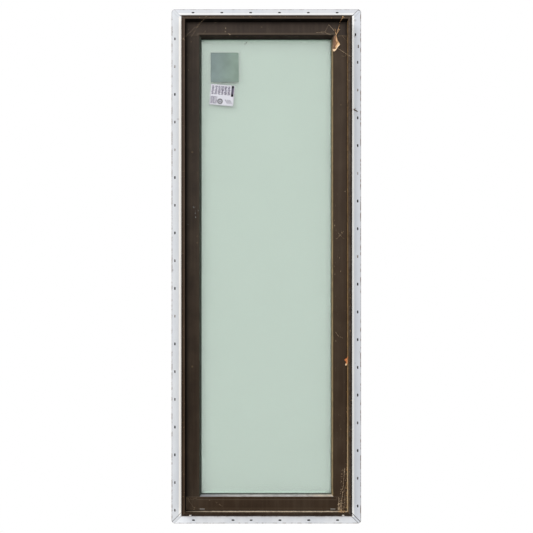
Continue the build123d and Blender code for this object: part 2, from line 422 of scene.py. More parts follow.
@dataclass(frozen=True)
class BronzePaint:
    """Weathered bronze paint on a metal bar, greyer at the window's top than low down."""

    name: str
    upper: Colour
    lower: Colour
    film: Colour = tint(96, 84, 70)
    speck: Colour = tint(186, 160, 122)
    corner_and_edge_tone: Colour = tint(10, 8, 6)
    film_amount: float = 0.2
    speck_share: float = 0.03
    coats: tuple[Coat, ...] = ()
    mitre_line: float = 0.0
    seam_line: float = 0.0
    groove_line: float = 0.0
    band: float = 0.0
    corner_shade: float = 0.0
    edge_shade: float = 0.0
    glass_line: float = 0.0
    rubber: Colour = tint(44, 58, 47)
    band_width: float = 8.5 * MM
    sash_edge: float = 15.4 * MM
    shade_reach: float = 12.0 * MM
    groove_at: float = 52.4 * MM
    glass_reach: tuple[float, float] = (3.0 * MM, 0.6 * MM)
    edge_reach: tuple[float, float] = (2.8 * MM, 1.6 * MM)
    tone_heights: tuple[float, float] = (0.3, 1.65)
    grain_scale: float = 700.0
    speck_scale: float = 57.0
    speck_strength: float = 0.09
    scratch_amount: float = 0.3
    gloss: float = 0.08
    roughness: float = 0.55

    def material(self) -> bpy.types.Material:
        """Builds the finish."""
        s = Surface(self.name)
        grain = s.effect(EFFECTS.grain, position=s.position, scale=self.grain_scale)
        height = s.ramp(s.parts(s.position)[2], *self.tone_heights)
        colour = s.toned(s.mix(height, self.lower, self.upper), grain.outputs["Tone"])
        film = s.effect(EFFECTS.film, position=s.position, amount=self.film_amount).outputs["Mask"]
        colour = s.mix(film, colour, self.film)
        scratch = s.effect(EFFECTS.scratches, position=s.position, amount=self.scratch_amount)
        colour = s.mix(scratch.outputs["Mask"], colour, self.film)
        specks = s.effect(EFFECTS.specks, position=s.position, scale=self.speck_scale, share=self.speck_share)
        colour = s.mix(s.times(specks.outputs["Mask"], self.speck_strength), colour, self.speck)
        colour = self._lines(s, colour)
        rough = s.ramp(film, 0.0, 0.5, self.roughness, self.roughness + 0.2)
        for coat in self.coats:
            mask = self._coat(s, coat)
            colour = s.mix(mask, colour, coat.colour)
            rough = s.math("ADD", rough, s.times(mask, 0.15))
        if self.glass_line:
            inset = s.effect(EFFECTS.edges, position=s.position).outputs["Inset"]
            start, full = (SIZES.bead_inner - reach for reach in self.glass_reach)
            line = s.ramp(inset, start, full, 0.0, self.glass_line)
            colour = s.mix(line, colour, self.rubber)
        s.set(Base_Color=colour, Roughness=rough, Specular_IOR_Level=self.gloss)
        s.bump(grain.outputs["Height"], 0.12, 0.3 * MM)
        return s.material

    def _lines(self, s: Surface, colour: bpy.types.NodeSocket) -> bpy.types.NodeSocket:
        """Lays on what follows the bars' edges: bands, seams and grooves, and painted shade beside the lip
        and along the sash's inner edge (on the bottom rail, a lighter tone of dust and painted bounce light).

        Args:
            s: The material.
            colour: The paint so far.

        Returns:
            The paint with its lines.
        """
        edges = s.effect(EFFECTS.edges, position=s.position)
        inset, mitre = edges.outputs["Inset"], edges.outputs["Mitre"]
        if self.band:
            start = SIZES.sash_inner - self.band_width
            band = s.ramp(inset, start - 1.5 * MM, start + 1.5 * MM, 0.0, self.band)
            colour = s.mix(band, colour, self.film)
        # Painted shade of the lip on the sash beside it; with a light tone, dust and painted light bounced
        # off the lip.
        if self.corner_shade:
            beside = s.ramp(inset, self.sash_edge, self.sash_edge + self.shade_reach, self.corner_shade, 0.0)
            colour = s.mix(beside, colour, self.corner_and_edge_tone)
        # Painted shade: a dark strip along the sash's inner edge.
        if self.edge_shade:
            start, full = (SIZES.sash_inner - reach for reach in self.edge_reach)
            under = s.ramp(inset, start, full, 0.0, self.edge_shade)
            colour = s.mix(under, colour, self.corner_and_edge_tone)
        if self.mitre_line:
            line = s.times(s.near(mitre, 0.0, 0.3 * MM, 1.0 * MM), self.mitre_line)
            colour = s.mix(line, colour, self.film)
        if self.groove_line:
            groove = s.times(s.near(inset, self.groove_at, 0.8 * MM, 1.5 * MM), self.groove_line)
            colour = s.mix(groove, colour, self.film)
        if self.seam_line:
            from_end = s.math("ADD", inset, s.math("MAXIMUM", mitre, 0.0))
            at_seam = s.near(from_end, SIZES.sash_inner, 0.3 * MM, 0.9 * MM)
            seam = s.times(at_seam, s.ramp(mitre, 0.0, 1.0 * MM), self.seam_line)
            colour = s.mix(seam, colour, self.film)
        return colour

    @staticmethod
    def _coat(s: Surface, coat: Coat) -> bpy.types.NodeSocket:
        """Where a coat lies.

        Args:
            s: The material.
            coat: The coat.

        Returns:
            Its mask.
        """
        mask = s.effect(EFFECTS.facing, position=s.position, normal=s.normal, direction=coat.facing.value,
                        amount=coat.amount, patchy=coat.patchy, scale=coat.scale).outputs["Mask"]
        place = s.parts(s.position)
        if coat.depths:
            front, back = coat.depths
            within = s.near(place[1], (front + back) / 2, (back - front) / 2 - 1.0 * MM, 2.0 * MM)
            mask = s.times(mask, within)
        if coat.fade:
            axis, bare, full = coat.fade
            mask = s.times(mask, s.ramp(place[axis.value], bare, full))
        return mask


@dataclass(frozen=True)
class FinPlastic:
    """White vinyl of the nail fin: whiter beside the frame, partly dirt-free plastic and partly painted
    highlight; dirty at its outer edge; with dark lines at its laps, of dirt in the joints and painted shadow
    beside the tab's edge.
    """

    name: str
    base: Colour
    clean_and_lit: Colour
    dirt: Colour = tint(96, 74, 58)
    lap: Colour = tint(70, 64, 60)
    shade: Colour = tint(198, 204, 214)
    clean_and_lit_to: float = 12.0 * MM
    edge_dirt: float = 0.6
    outline: float = 0.3
    root_dirt: float = 0.0
    root_line: float = 0.0
    root_at: tuple[float, float] = (0.0, 0.0)
    root_tone: Colour = tint(44, 33, 25)
    fold_line: tuple[float, float] = (0.5, 0.1)
    tab_line: tuple[float, float] = (0.4, 0.5)
    fold_at: float = 4.24 * MM
    tab_at: float = -8.49 * MM
    lap_width: tuple[float, float] = (0.9 * MM, 1.6 * MM)
    rim_width: tuple[float, float] = (1.5 * MM, 4.3 * MM)
    outline_width: tuple[float, float] = (0.6 * MM, 2.2 * MM)

    def material(self) -> bpy.types.Material:
        """Builds the finish."""
        s = Surface(self.name)
        grain = s.effect(EFFECTS.grain, position=s.position, scale=420.0)
        cloud = s.noise(s.scaled(s.position, (9.0, 9.0, 4.0)), 1.0, 3.0)
        colour = s.mix(s.ramp(cloud, 0.4, 0.7, 0.0, 0.35), self.base, self.shade)
        colour = s.toned(colour, s.ramp(grain.outputs["Tone"], 0.86, 1.14, 0.98, 1.02))
        edges = s.effect(EFFECTS.edges, position=s.position)
        inset = edges.outputs["Inset"]
        # A whiter strip beside the frame: dirt-free plastic, and in part a painted highlight where the fin
        # meets the frame.
        if self.clean_and_lit_to:
            near = s.ramp(inset, -self.clean_and_lit_to - 1.5 * MM, -self.clean_and_lit_to + 0.5 * MM)
            colour = s.mix(near, colour, self.clean_and_lit)
        film = s.effect(EFFECTS.film, position=s.position, amount=0.06).outputs["Mask"]
        colour = s.mix(film, colour, self.dirt)
        broken = s.ramp(s.noise(s.position, 55.0, 4.0), 0.44, 0.62, 0.15, 1.0)
        rim = s.times(s.ramp(edges.outputs["Rim"], *self.rim_width, self.edge_dirt, 0.0), broken)
        colour = s.mix(rim, colour, self.dirt)
        outline = s.ramp(edges.outputs["Rim"], *self.outline_width, self.outline, 0.0)
        colour = s.mix(outline, colour, self.dirt)
        if self.root_dirt:
            root = s.ramp(inset, -18.0 * MM, -12.0 * MM, 0.0, self.root_dirt)
            colour = s.mix(s.times(root, broken), colour, self.dirt)
        # A line at a set inset: on the top fin a painted shadow of the flange's edge, on the bottom fin a tan
        # stain.
        if self.root_line:
            line = s.near(inset, *self.root_at, 0.6 * MM)
            colour = s.mix(s.times(line, self.root_line), colour, self.root_tone)
        z = s.parts(s.position)[2]
        # Dark lines at the laps: dirt in the joints and painted shadow beside the tab's edge.
        for at, (low, high) in ((self.fold_at, self.fold_line), (self.tab_at, self.tab_line)):
            at_lap = s.near(edges.outputs["Mitre"], at, *self.lap_width)
            colour = s.mix(s.times(at_lap, s.ramp(z, 0.2, 1.5, low, high)), colour, self.lap)
        specks = s.effect(EFFECTS.specks, position=s.position, scale=38.0, share=0.04).outputs["Mask"]
        colour = s.mix(s.times(specks, 0.3), colour, self.dirt)
        s.set(Base_Color=colour, Roughness=s.ramp(film, 0.0, 0.1, 0.45, 0.6), Specular_IOR_Level=0.3)
        s.bump(grain.outputs["Height"], 0.08, 0.2 * MM)
        return s.material


@dataclass(frozen=True)
class Rubber:
    """Black rubber of the gaskets and seals, greyed with dust."""

    name: str
    base: Colour = tint(28, 34, 32)
    dust: Colour = tint(86, 88, 80)
    dust_amount: float = 0.25

    def material(self) -> bpy.types.Material:
        """Builds the finish."""
        s = Surface(self.name)
        grain = s.effect(EFFECTS.grain, position=s.position, scale=900.0)
        film = s.effect(EFFECTS.film, position=s.position, amount=self.dust_amount).outputs["Mask"]
        colour = s.mix(film, s.toned(self.base, grain.outputs["Tone"]), self.dust)
        s.set(Base_Color=colour, Roughness=s.ramp(film, 0.0, 0.25, 0.62, 0.85), Specular_IOR_Level=0.1)
        s.bump(grain.outputs["Height"], 0.2, 0.2 * MM)
        return s.material


@dataclass(frozen=True)
class Glass:
    """A pane of pale green glass, clear or satin; the satin one has painted light at its rim: a paler colour
    and a faint emission there.
    """

    name: str
    base: Colour
    roughness: float
    transmission: float
    rim: float = 0.0
    rim_reach: tuple[float, float] = (64.0 * MM, 80.0 * MM)
    rim_light_tone: Colour = tint(238, 255, 243)
    rim_upright: float = 0.65
    painted_glow: tuple[float, float] = (0.0, 0.0)
    painted_glow_reach: tuple[float, float] = (68.0 * MM, 74.0 * MM)
    smear: Colour = tint(206, 216, 208)

    def material(self) -> bpy.types.Material:
        """Builds the finish."""
        s = Surface(self.name)
        film = s.effect(EFFECTS.film, position=s.position, amount=0.05).outputs["Mask"]
        colour = s.mix(film, self.base, self.smear)
        # Painted light: paler near the rim, and a faint emission there, stronger low down, against the
        # frame's shade on the pane.
        if self.rim:
            edges = s.effect(EFFECTS.edges, position=s.position)
            inset = edges.outputs["Inset"]
            level = s.ramp(edges.outputs["Mitre"], -20.0 * MM, 0.0, 1.0, 0.0)
            share = s.ramp(level, 0.0, 1.0, self.rim_upright, 1.0)
            pale = s.times(s.ramp(inset, *self.rim_reach, self.rim, 0.0), share)
            colour = s.mix(pale, colour, self.rim_light_tone)
            strength = s.ramp(s.parts(s.position)[2], 0.3, 1.4, *self.painted_glow)
            s.set(Emission_Color=self.rim_light_tone,
                  Emission_Strength=s.times(s.ramp(inset, *self.painted_glow_reach, 1.0, 0.0), level, strength))
        rough = s.math("ADD", s.times(film, 0.3), self.roughness)
        s.set(Base_Color=colour, Roughness=rough, IOR=1.5, Transmission_Weight=self.transmission)
        return s.material


@dataclass(frozen=True)
class SpacerMetal:
    """Dull mill-finished metal of the spacer between the panes."""

    name: str
    # Nearly white: mill metal made paler as painted light, for the light that reaches it through the clear
    # pane.
    base: Colour = tint(246, 250, 246)

    def material(self) -> bpy.types.Material:
        """Builds the finish."""
        s = Surface(self.name)
        grain = s.effect(EFFECTS.grain, position=s.position, scale=300.0)
        s.set(Base_Color=s.toned(self.base, grain.outputs["Tone"]), Metallic=0.1,
              Roughness=s.ramp(grain.outputs["Height"], 0.3, 0.7, 0.5, 0.65))
        return s.material


@dataclass(frozen=True)
class WeepPlastic:
    """Grey plastic of the weep covers, dusty on top."""

    name: str
    base: Colour = tint(96, 92, 88)
    dust: Colour = tint(165, 158, 148)

    def material(self) -> bpy.types.Material:
        """Builds the finish."""
        s = Surface(self.name)
        grain = s.effect(EFFECTS.grain, position=s.position, scale=500.0)
        dust = s.effect(EFFECTS.facing, position=s.position, normal=s.normal, direction=Facing.UP.value,
                        amount=0.8, patchy=0.5, scale=48.0).outputs["Mask"]
        s.set(Base_Color=s.mix(dust, s.toned(self.base, grain.outputs["Tone"]), self.dust),
              Roughness=s.ramp(dust, 0.0, 0.5, 0.5, 0.8), Specular_IOR_Level=0.2)
        s.bump(grain.outputs["Height"], 0.15, 0.2 * MM)
        return s.material


@dataclass(frozen=True)
class LabelFilm:
    """Grey film on the glass, bluish at its left and greener at its right."""

    name: str
    left: Colour = tint(119, 134, 132)
    right: Colour = tint(124, 142, 131)

    def material(self) -> bpy.types.Material:
        """Builds the finish."""
        s = Surface(self.name)
        cloud = s.noise(s.position, 22.0, 3.0)
        low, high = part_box("film_label")
        base = s.mix(s.ramp(s.parts(s.position)[0], low.x, high.x), self.left, self.right)
        s.set(Base_Color=s.toned(base, s.ramp(cloud, 0.3, 0.7, 0.9, 1.1)),
              Roughness=s.ramp(cloud, 0.3, 0.7, 0.5, 0.65), Specular_IOR_Level=0.2)
        return s.material


@dataclass(frozen=True)
class LabelPrint:
    """White label paper with a plain grey print of bars and a ring, which spells nothing."""

    name: str
    centre: Triple
    tilt: float
    paper: Colour = tint(209, 209, 216)
    grey: Colour = tint(92, 84, 104)
    black: Colour = tint(10, 9, 11)
    worn: Colour = tint(58, 52, 60)
    columns: tuple[tuple[float, ...], ...] = ((-5.5, 17.0, 34.0, 15.0, 11.6),
                                              (-29.0, -19.0, 11.5, 12.5, 7.4))
    stripe: tuple[float, ...] = (35.8, 16.5, 4.0, 19.0)
    stripe_ends: tuple[float, float] = (10.0, 11.5)
    ring: Triple = (7.6, 1.9, 2.8)
    ring_at: Pixel = (-5.8, -22.4)
    strokes: tuple[tuple[float, ...], ...] = ((17.5, -22.0, -0.92, 8.0), (24.5, -22.0, -0.92, 8.0),
                                              (31.5, -22.0, -0.92, 8.0))

    def material(self) -> bpy.types.Material:
        """Builds the finish, with the print laid out in millimetres from the label's middle."""
        s = Surface(self.name)
        flat = s.node("ShaderNodeMapping", {"Vector": s.position, "Location": self.centre,
                                            "Rotation": (0.0, self.tilt, 0.0), "Scale": (MM, MM, MM)},
                      vector_type="TEXTURE").outputs[0]
        x, _, z = s.parts(flat)
        grain = s.effect(EFFECTS.grain, position=s.position, scale=800.0)
        colour = s.toned(self.paper, s.ramp(grain.outputs["Tone"], 0.86, 1.14, 0.95, 1.03))
        marks = s.ramp(s.noise(s.scaled(flat, (0.9, 0.9, 0.34)), 1.0, 2.0), 0.38, 0.56, 0.2, 1.0)
        cloud = s.noise(s.scaled(flat, (0.1, 0.1, 0.25)), 1.0, 1.0)
        sway = s.math("ADD", x, s.ramp(cloud, 0.3, 0.7, -2.6, 2.6))
        for middle_x, middle_z, half_x, half_z, pitch in self.columns:
            zone = s.times(s.near(x, middle_x, half_x, 1.0), s.near(z, middle_z, half_z, 1.5))
            bars = s.near(s.math("PINGPONG", sway, pitch / 2), 0.0, pitch * 0.28, 1.4)
            colour = s.mix(s.times(zone, bars, marks), colour, self.grey)
        for middle_x, middle_z, lean, half in self.strokes:
            off_x, off_z = s.math("SUBTRACT", x, middle_x), s.math("SUBTRACT", z, middle_z)
            along = s.math("ADD", s.times(off_x, math.cos(lean)), s.times(off_z, math.sin(lean)))
            across = s.math("SUBTRACT", s.times(off_z, math.cos(lean)), s.times(off_x, math.sin(lean)))
            stroke = s.times(s.near(along, 0.0, half, 1.5), s.near(across, 0.0, 0.7, 1.6), marks)
            colour = s.mix(stroke, colour, self.grey)
        stripe_x, stripe_z, half_x, half_z = self.stripe
        stripe = s.times(s.near(x, stripe_x, half_x, 0.6), s.near(z, stripe_z, half_z, 0.6))
        ends = s.ramp(s.math("ABSOLUTE", s.math("SUBTRACT", z, stripe_z)), *self.stripe_ends)
        colour = s.mix(stripe, colour, s.mix(ends, s.mix(marks, self.worn, self.grey), self.black))
        off_x = s.math("SUBTRACT", x, self.ring_at[0])
        off_z = s.math("SUBTRACT", z, self.ring_at[1])
        radius = s.math("SQRT", s.math("ADD", s.times(off_x, off_x), s.times(off_z, off_z)))
        middle, half, dot = self.ring
        ring = s.math("MAXIMUM", s.near(radius, middle, half, 0.8), s.near(radius, 0.0, dot, 0.8))
        colour = s.mix(s.times(ring, 0.8), colour, self.black)
        s.set(Base_Color=colour, Roughness=s.ramp(grain.outputs["Height"], 0.3, 0.7, 0.7, 0.85),
              Specular_IOR_Level=0.2)
        return s.material


@dataclass(frozen=True)
class CloudyFinish:
    """Crumbs, threads, leaves, and the slot plugs that stand for shade: one colour range, cloudy and rough.
    """

    name: str
    dark: Colour
    light: Colour
    scale: float = 180.0
    low: float = 0.35
    high: float = 0.65

    def material(self) -> bpy.types.Material:
        """Builds the finish."""
        s = Surface(self.name)
        cloud = s.noise(s.position, self.scale, 4.0)
        colour = s.mix(s.ramp(cloud, self.low, self.high), self.dark, self.light)
        s.set(Base_Color=colour, Roughness=s.ramp(cloud, 0.3, 0.7, 0.75, 0.95), Specular_IOR_Level=0.1)
        s.bump(cloud, 0.5, 0.5 * MM)
        return s.material


@dataclass
class Studio:
    """The plain stage: a pale floor, a white surround and soft lamps."""

    floor_z: float = -0.7
    floor_half: float = 1.1
    floor_back: float = 0.4
    fill: float = 0.5

    def build(self) -> None:
        """Builds the stage."""
        scene = bpy.context.scene
        scene.view_settings.view_transform = "Standard"
        self._world(scene)
        self._floor()
        self._lamp("key_lamp", (-3.2, -3.2, 4.6), 2.4, 112.0)
        self._lamp("front_lamp", (0.0, -5.5, 1.2), 8.0, 212.0)
        self._lamp("back_lamp", (-3.4, 3.6, 3.0), 2.4, 90.0)

    def _world(self, scene: bpy.types.Scene) -> None:
        """White for the camera, for gloss and through glass; a quieter grey as light."""
        world = bpy.data.worlds.new("studio_white")
        world.use_nodes = True
        scene.world = world
        graph = Graph(world.node_tree)
        world.node_tree.nodes.clear()
        path = graph.node("ShaderNodeLightPath").outputs
        seen = graph.math("MAXIMUM", path["Is Camera Ray"],
                          graph.math("MAXIMUM", path["Is Glossy Ray"], path["Is Transmission Ray"]))
        light = graph.node("ShaderNodeBackground", {"Color": (1.0, 1.0, 1.0, 1.0), "Strength": self.fill})
        white = graph.node("ShaderNodeBackground", {"Color": (1.0, 1.0, 1.0, 1.0), "Strength": 1.0})
        both = graph.node("ShaderNodeMixShader", {0: seen, 1: light.outputs[0], 2: white.outputs[0]})
        graph.node("ShaderNodeOutputWorld", {"Surface": both.outputs[0]})

    def _floor(self) -> None:
        """A pale floor below the window, which a wall would hold clear of it."""
        mesh = bpy.data.meshes.new("studio_floor")
        shape = bmesh.new()
        bmesh.ops.create_grid(shape, x_segments=1, y_segments=1, size=self.floor_half)
        bmesh.ops.translate(shape, verts=shape.verts,
                            vec=(0.0, self.floor_back - self.floor_half, self.floor_z))
        shape.to_mesh(mesh)
        shape.free()
        floor = bpy.data.objects.new("studio_floor", mesh)
        bpy.context.scene.collection.objects.link(floor)
        mesh.materials.append(CloudyFinish("pale_floor", (0.86, 0.86, 0.86, 1.0), (0.9, 0.9, 0.9, 1.0),
                                        scale=3.0).material())

    @staticmethod
    def _lamp(name: str, at: Triple, size: float, power: float) -> None:
        """A square soft lamp that points at the window's middle."""
        lamp = bpy.data.lights.new(name, "AREA")
        lamp.size = size
        lamp.energy = power
        holder = bpy.data.objects.new(name, lamp)
        holder.location = at
        aim = Vector((0.0, 0.0, SIZES.height / 2)) - Vector(at)
        holder.rotation_euler = aim.to_track_quat("-Z", "Y").to_euler()
        bpy.context.scene.collection.objects.link(holder)


@dataclass(frozen=True)
class SideLook:
    """How one side of the window looks: paint tones high and low, its coats and its fin, with weathering and,
    on some sides, painted light and shade.
    """

    nose: tuple[Colour, Colour]
    flange: tuple[Colour, Colour]
    sash: tuple[Colour, Colour]
    nose_coats: tuple[Coat, ...]
    bead_coats: tuple[Coat, ...]
    fin: FinPlastic
    band: float = 0.0
    corner_shade: float = 0.0
    corner_tone: Colour = tint(10, 8, 6)
    edge_shade: float = 0.0
    glass_line: float = 0.0
    glass_tone: Colour = tint(44, 58, 47)
    groove_line: float = 0.0
    film_amount: float = 0.2


# Near black for the lip's inner faces that look away from the light: painted shade.
PAINTED_SHADE = tint(4, 3, 2)
LIP_DEPTHS = (SIZES.lip_y - 2 * MM, SIZES.sash_y + 10 * MM)
GOLD_DEPTHS = (SIZES.lip_y + 4 * MM, SIZES.sash_y + 2 * MM)
DEEP_GOLD_DEPTHS = (SIZES.lip_y + 11 * MM, SIZES.sash_y + 2 * MM)
CREAM_DEPTHS = (SIZES.lip_y + 6 * MM, SIZES.sash_y - 5 * MM)
RIGHT_BEAD_DEPTHS = (SIZES.sash_y + 4.5 * MM, SIZES.glass_y + 5 * MM)
LOOKS = {
    Edge.TOP: SideLook(
        nose=(tint(66, 55, 46), tint(66, 55, 46)), flange=(tint(41, 30, 23), tint(41, 30, 23)),
        sash=(tint(56, 48, 43), tint(56, 48, 43)),
        # Painted shade: near black on the lip's downward faces, dark on the bead's.
        nose_coats=(Coat(Facing.DOWN, PAINTED_SHADE, 0.98, 0.05, LIP_DEPTHS),),
        bead_coats=(Coat(Facing.DOWN, tint(32, 28, 20), 0.7, 0.3),),
        # The top fin's root line is a painted shadow of the flange's edge.
        fin=FinPlastic("top_fin_plastic", tint(216, 218, 222), tint(240, 240, 240), clean_and_lit_to=24.0 * MM,
                       fold_line=(0.05, 0.05), tab_line=(0.12, 0.12), edge_dirt=0.35, root_line=0.9,
                       root_at=(-16.4 * MM, 0.9 * MM)),
        # Painted shade beside the lip, along the rail's inner edge, and in a near-black gasket line.
        band=0.35, corner_shade=0.5, edge_shade=0.95, glass_line=0.6, glass_tone=tint(14, 20, 20)),
    Edge.LEFT: SideLook(
        nose=(tint(68, 56, 48), tint(55, 42, 30)), flange=(tint(62, 51, 43), tint(40, 28, 18)),
        sash=(tint(48, 41, 36), tint(40, 30, 21)),
        # Painted shade: near black on the lip's faces that look right. Painted reflection: the greenish coat
        # on the bead's faces that look right.
        nose_coats=(Coat(Facing.RIGHT, PAINTED_SHADE, 0.98, 0.05, LIP_DEPTHS),),
        bead_coats=(Coat(Facing.RIGHT, tint(82, 92, 84), 0.7, 0.2),),
        fin=FinPlastic("left_fin_plastic", tint(214, 217, 220), tint(250, 247, 241), clean_and_lit_to=11.5 * MM,
                       fold_line=(0.6, 0.05), tab_line=(0.1, 0.25), edge_dirt=0.8),
        # Painted shade of the lip on the stile beside it.
        band=0.06, corner_shade=0.6),
    Edge.RIGHT: SideLook(
        nose=(tint(64, 52, 43), tint(50, 38, 26)), flange=(tint(28, 18, 10), tint(26, 16, 8)),
        sash=(tint(62, 51, 42), tint(51, 38, 26)),
        nose_coats=(Coat(Facing.LEFT, tint(222, 178, 120), 0.4, 0.75, GOLD_DEPTHS, 120.0),
                    Coat(Facing.LEFT, tint(222, 178, 120), 0.6, 0.6, GOLD_DEPTHS, 90.0, (Axis.Z, 1.5, 0.1)),
                    Coat(Facing.LEFT, tint(255, 232, 186), 1.0, 0.4, DEEP_GOLD_DEPTHS, 120.0,
                         (Axis.Z, 0.45, 0.1)),
                    Coat(Facing.FRONT, tint(112, 106, 104), 0.18, 1.0, None, 70.0)),
        # The bead's coat fades out near the top, leaving it darker there: painted shade of the leaf and the
        # head.
        bead_coats=(Coat(Facing.LEFT, tint(168, 145, 110), 0.88, 0.3, RIGHT_BEAD_DEPTHS,
                         fade=(Axis.Z, 1.72, 1.62)),),
        fin=FinPlastic("right_fin_plastic", tint(212, 216, 222), tint(255, 255, 252), clean_and_lit_to=13.0 * MM,
                       fold_line=(0.95, 0.15), tab_line=(0.95, 0.95), edge_dirt=1.0, outline=0.45),
        film_amount=0.35, glass_line=0.35, glass_tone=tint(60, 96, 86)),
    Edge.BOTTOM: SideLook(
        nose=(tint(40, 28, 17), tint(40, 28, 17)), flange=(tint(30, 18, 7), tint(30, 18, 7)),
        sash=(tint(48, 35, 23), tint(48, 35, 23)),
        nose_coats=(Coat(Facing.UP, tint(244, 226, 200), 0.99, 0.35, CREAM_DEPTHS, 90.0,
                         (Axis.X, -0.36, -0.1)),),
        # Pale grey on the bead's upward faces, bluish to the left: dust and painted sky reflection.
        bead_coats=(Coat(Facing.UP, tint(206, 204, 202), 0.95, 0.25),
                    Coat(Facing.UP, tint(126, 130, 142), 0.6, 0.4, None, 48.0, (Axis.X, -0.12, -0.2)),
                    Coat(Facing.UP, tint(232, 212, 176), 0.5, 0.5, None, 48.0, (Axis.X, 0.1, 0.22))),
        # Whiter than the other fins: painted light against the shadow of the sill's lip.
        fin=FinPlastic("bottom_fin_plastic", tint(234, 236, 239), tint(234, 236, 239), clean_and_lit_to=0.0,
                       root_dirt=0.4, root_line=0.34, root_at=(-12.5 * MM, 1.2 * MM),
                       root_tone=tint(120, 80, 36)),
        # A lighter tone beside the lip on the rail: dust and painted light bounced off the lip.
        groove_line=0.3, corner_shade=0.25, corner_tone=tint(104, 90, 74), glass_line=0.8),
}


class Dresser:
    """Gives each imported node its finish."""

    FRAME = {Edge.TOP: "frame_head", Edge.BOTTOM: "frame_sill",
             Edge.LEFT: "left_jamb", Edge.RIGHT: "right_jamb"}
    SASH = {Edge.TOP: "top_rail", Edge.BOTTOM: "bottom_rail",
            Edge.LEFT: "left_stile", Edge.RIGHT: "right_stile"}

    def dress(self) -> None:
        """Assigns a material to every node."""
        finishes = self._finishes()
        for name, piece in frame["nodes"].items():
            material = finishes[name]
            piece.data.materials.clear()
            piece.data.materials.append(material)
            LOG.info("%s: %s", name, material.name)

    def _finishes(self) -> dict[str, bpy.types.Material]:
        """The finish of each node by its name."""
        finishes = {}
        for edge in Edge:
            finishes.update(self._side(edge))
        finishes["outer_pane"] = Glass("clear_glass", tint(240, 247, 243), 0.02, 1.0).material()
        finishes["inner_pane"] = Glass("satin_glass", tint(218, 228, 220), 0.35, 0.35, rim=0.6,
                                       painted_glow=(0.2, 0.09)).material()
        finishes["glass_spacer"] = SpacerMetal("spacer_metal").material()
        finishes["glass_edge_seal"] = Rubber("edge_sealant").material()
        finishes["paper_label"] = finishes["film_label"] = LabelFilm("label_film").material()
        finishes["left_weep_cover"] = finishes["right_weep_cover"] = WeepPlastic("weep_plastic").material()
        return finishes

    def _side(self, edge: Edge) -> dict[str, bpy.types.Material]:
        """The finishes of one side's bars.

        Args:
            edge: The side.

        Returns:
            Materials by node name.
        """
        side, look = edge.value, LOOKS[edge]
        dust = Coat(Facing.UP, tint(140, 126, 110), 0.5)
        made = {
            self.FRAME[edge]: BronzePaint(f"{side}_frame_paint", *look.nose, coats=look.nose_coats,
                                          mitre_line=0.6, film_amount=look.film_amount),
            f"{side}_flange": BronzePaint(f"{side}_flange_paint", *look.flange, film_amount=0.15,
                                          coats=(dust,), mitre_line=0.5),
            self.SASH[edge]: BronzePaint(f"{side}_sash_paint", *look.sash, coats=(dust,), band=look.band,
                                         corner_shade=look.corner_shade, corner_and_edge_tone=look.corner_tone,
                                         edge_shade=look.edge_shade, groove_line=look.groove_line,
                                         seam_line=0.5),
            f"{side}_glazing_bead": BronzePaint(f"{side}_bead_paint", *look.sash, coats=look.bead_coats,
                                                mitre_line=0.4, glass_line=look.glass_line,
                                                rubber=look.glass_tone),
            f"{side}_glass_stop": BronzePaint(f"{side}_stop_paint", *look.sash, coats=(dust,)),
            f"{side}_fin": look.fin,
            # Near-black seals: black rubber, darkened further as painted shade in the gap beside the sash.
            f"{side}_sash_seal": Rubber(f"{side}_seal_rubber", base=tint(8, 7, 6), dust=tint(30, 26, 22)),
            f"{side}_outer_gasket": Rubber(f"{side}_outer_rubber", base=tint(58, 70, 64),
                                           dust=tint(110, 118, 108)),
            # Pale grey-green inner gaskets: painted light, so the satin pane's edge in front of them reads
            # bright.
            f"{side}_inner_gasket": Rubber(f"{side}_inner_rubber", base=tint(190, 200, 194),
                                           dust=tint(206, 210, 200)),
        }
        return {node: finish.material() for node, finish in made.items()}


def smooth_line(points: list[Vector], steps: int = 5) -> list[Vector]:
    """A smooth line through some points.

    Args:
        points: The points, at least two.
        steps: Stretches between one point and the next.

    Returns:
        Points along the line, the given ones among them.
    """
    ends = [2 * points[0] - points[1], *points, 2 * points[-1] - points[-2]]
    line = []
    for a, b, c, d in zip(ends, ends[1:], ends[2:], ends[3:]):
        for step in range(steps):
            t = step / steps
            line.append(0.5 * (2 * b + (c - a) * t + (2 * a - 5 * b + 4 * c - d) * t ** 2
                               + (3 * b - a - 3 * c + d) * t ** 3))
    return [*line, points[-1]]


